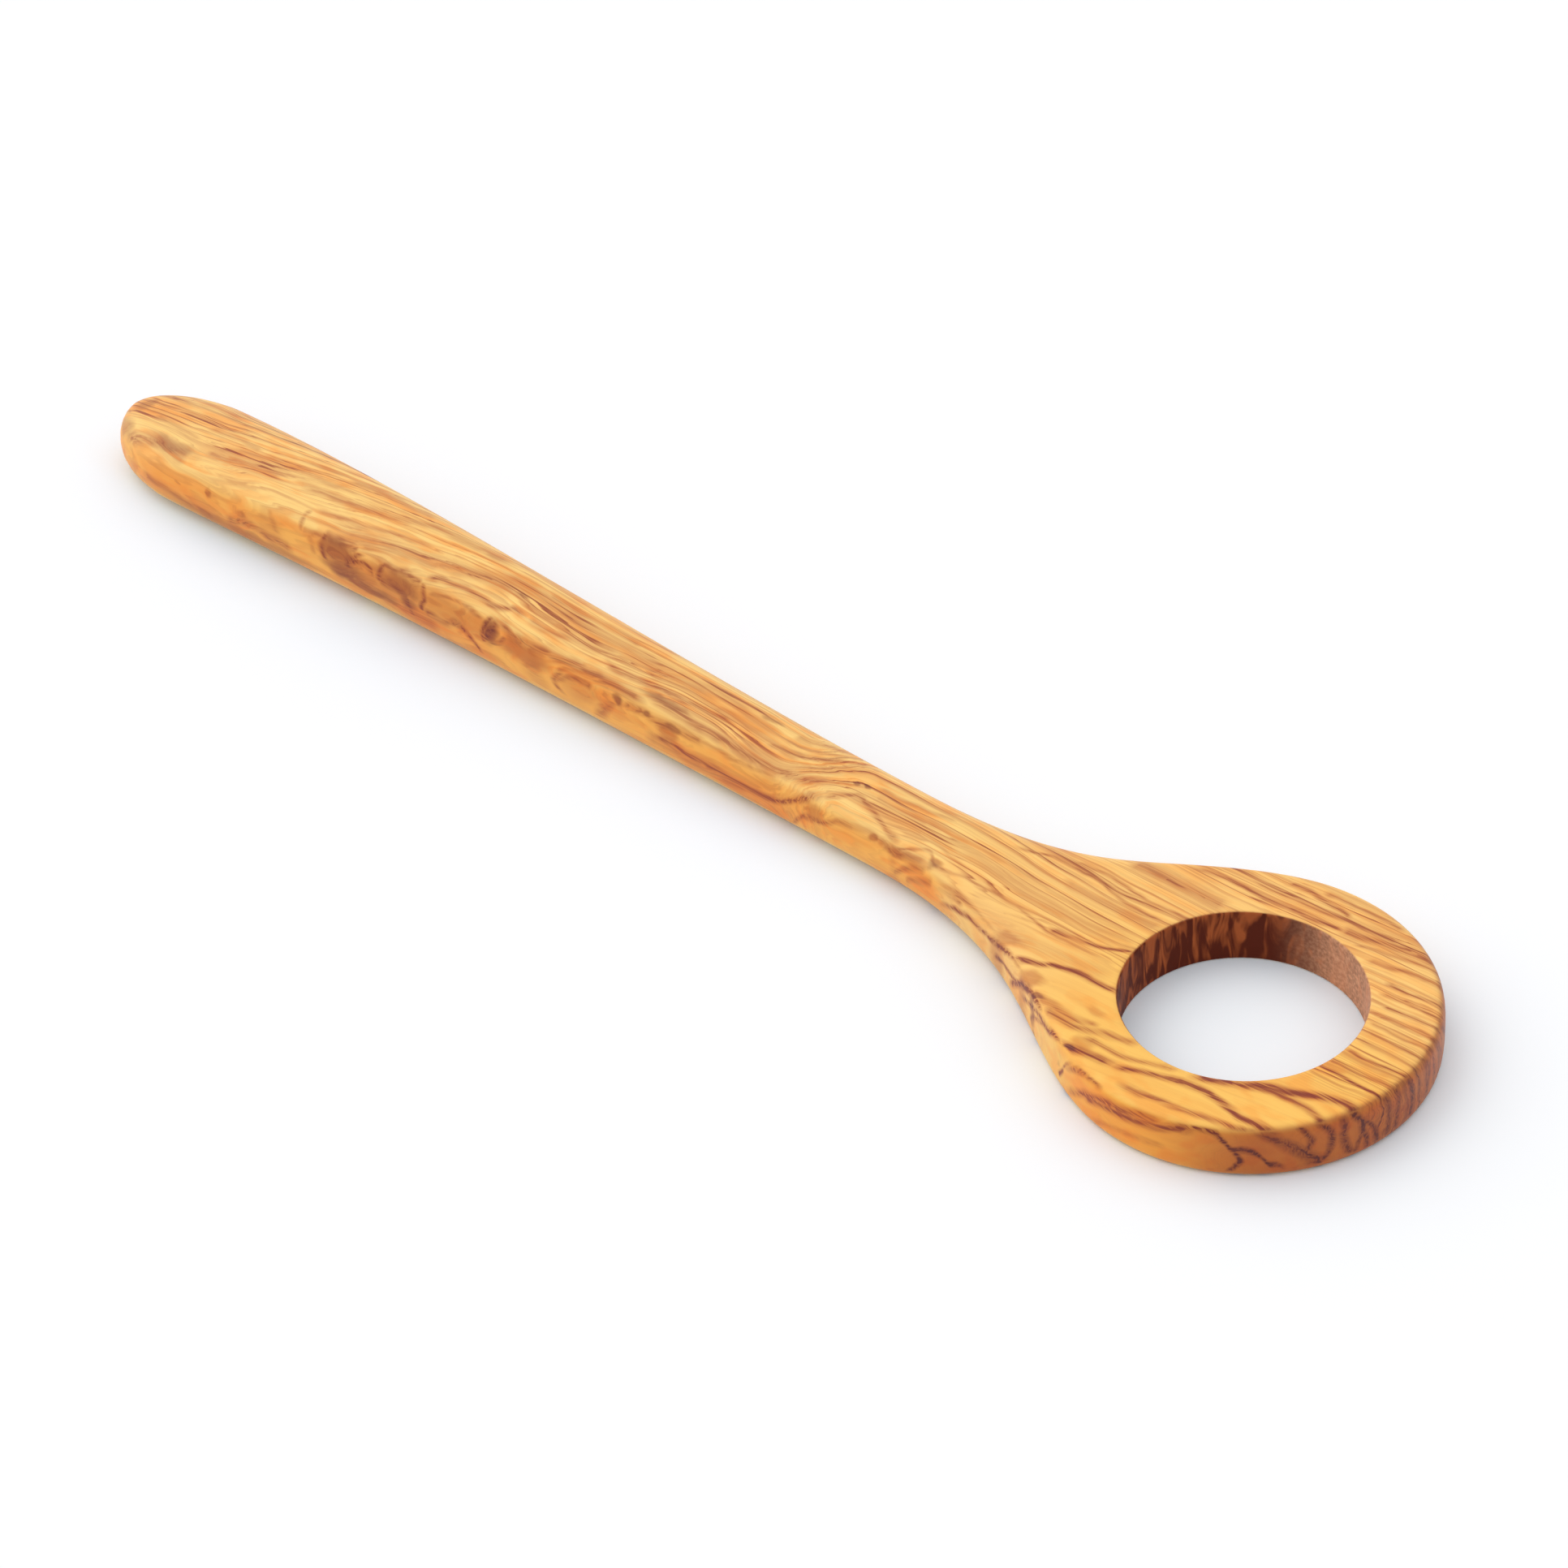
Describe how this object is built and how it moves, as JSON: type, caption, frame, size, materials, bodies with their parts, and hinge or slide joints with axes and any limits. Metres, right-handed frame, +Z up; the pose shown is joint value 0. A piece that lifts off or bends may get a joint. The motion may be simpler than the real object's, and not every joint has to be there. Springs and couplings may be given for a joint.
{
  "type": "batter whisk",
  "caption": "Wooden batter whisk carved in one piece: a flat round head with a wide bored hole that batter flows through, a narrow neck and an oval handle swelling to a rounded butt.",
  "frame": {"origin": "on the surface the whisk lies on, under the middle of its length and width", "axes": "+X along the handle from the butt to the tip of the head, +Y across it, +Z up out of the head's flat top"},
  "size_m": [0.3, 0.066, 0.0155],
  "materials": {
    "olive_wood": "satin, sanded and oiled"
  },
  "bodies": {
    "root": {"whisk_body": "olive_wood"}
  },
  "joints": []
}
